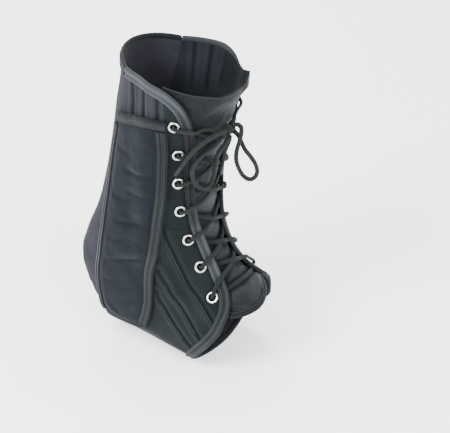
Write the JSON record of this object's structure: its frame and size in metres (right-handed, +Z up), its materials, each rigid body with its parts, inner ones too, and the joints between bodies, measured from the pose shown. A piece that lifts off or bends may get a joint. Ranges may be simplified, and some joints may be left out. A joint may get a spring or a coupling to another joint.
{
  "type": "lace-up ankle brace",
  "caption": "Black lace-up ankle support with padded tongue, eyelet facings, side stay pockets, elastic back, open heel and an arch band.",
  "frame": {"origin": "on the inner sole below the ankle, where the wearer's foot stands; a mount of kind other", "axes": "+X to the toes, +Y to the inner side of the foot, +Z up the leg; the brace stands as on a right foot"},
  "size_m": [0.1707, 0.098, 0.2452],
  "materials": {
    "nylon": "matt black woven nylon",
    "pocket_nylon": "matt black brushed nylon over padding",
    "elastic": "matt black knitted elastic",
    "binding_tape": "dark ribbed polyester tape",
    "tongue_nylon": "padded black nylon",
    "eyelet_metal": "nickel-plated brass",
    "lace_cord": "braided black polyester cord",
    "lace_tip": "clear-coated black sleeve"
  },
  "bodies": {
    "root": {"sole_strap": "elastic", "heel_back_panel": "elastic", "quarter_lateral": "nylon", "eyelet_facing_lateral": "nylon", "stay_pocket_lateral": "pocket_nylon", "pocket_top_tape_lateral": "binding_tape", "pocket_front_tape_lateral": "binding_tape", "pocket_rear_tape_lateral": "binding_tape", "edge_binding_lateral": "binding_tape", "quarter_medial": "nylon", "eyelet_facing_medial": "nylon", "stay_pocket_medial": "pocket_nylon", "pocket_top_tape_medial": "binding_tape", "pocket_front_tape_medial": "binding_tape", "pocket_rear_tape_medial": "binding_tape", "edge_binding_medial": "binding_tape", "back_top_binding": "binding_tape", "sole_front_binding": "binding_tape", "tongue": "tongue_nylon", "tongue_binding": "binding_tape", "eyelet_lateral_1": "eyelet_metal", "eyelet_lateral_2": "eyelet_metal", "eyelet_lateral_3": "eyelet_metal", "eyelet_lateral_4": "eyelet_metal", "eyelet_lateral_5": "eyelet_metal", "eyelet_lateral_6": "eyelet_metal", "eyelet_lateral_7": "eyelet_metal", "eyelet_medial_1": "eyelet_metal", "eyelet_medial_2": "eyelet_metal", "eyelet_medial_3": "eyelet_metal", "eyelet_medial_4": "eyelet_metal", "eyelet_medial_5": "eyelet_metal", "eyelet_medial_6": "eyelet_metal", "eyelet_medial_7": "eyelet_metal", "lace": "lace_cord", "bow_knot": "lace_cord", "bow_loop_lateral": "lace_cord", "bow_loop_medial": "lace_cord", "lace_tail_lateral": "lace_cord", "lace_tail_medial": "lace_cord", "lace_tip_lateral": "lace_tip", "lace_tip_medial": "lace_tip"}
  },
  "joints": []
}
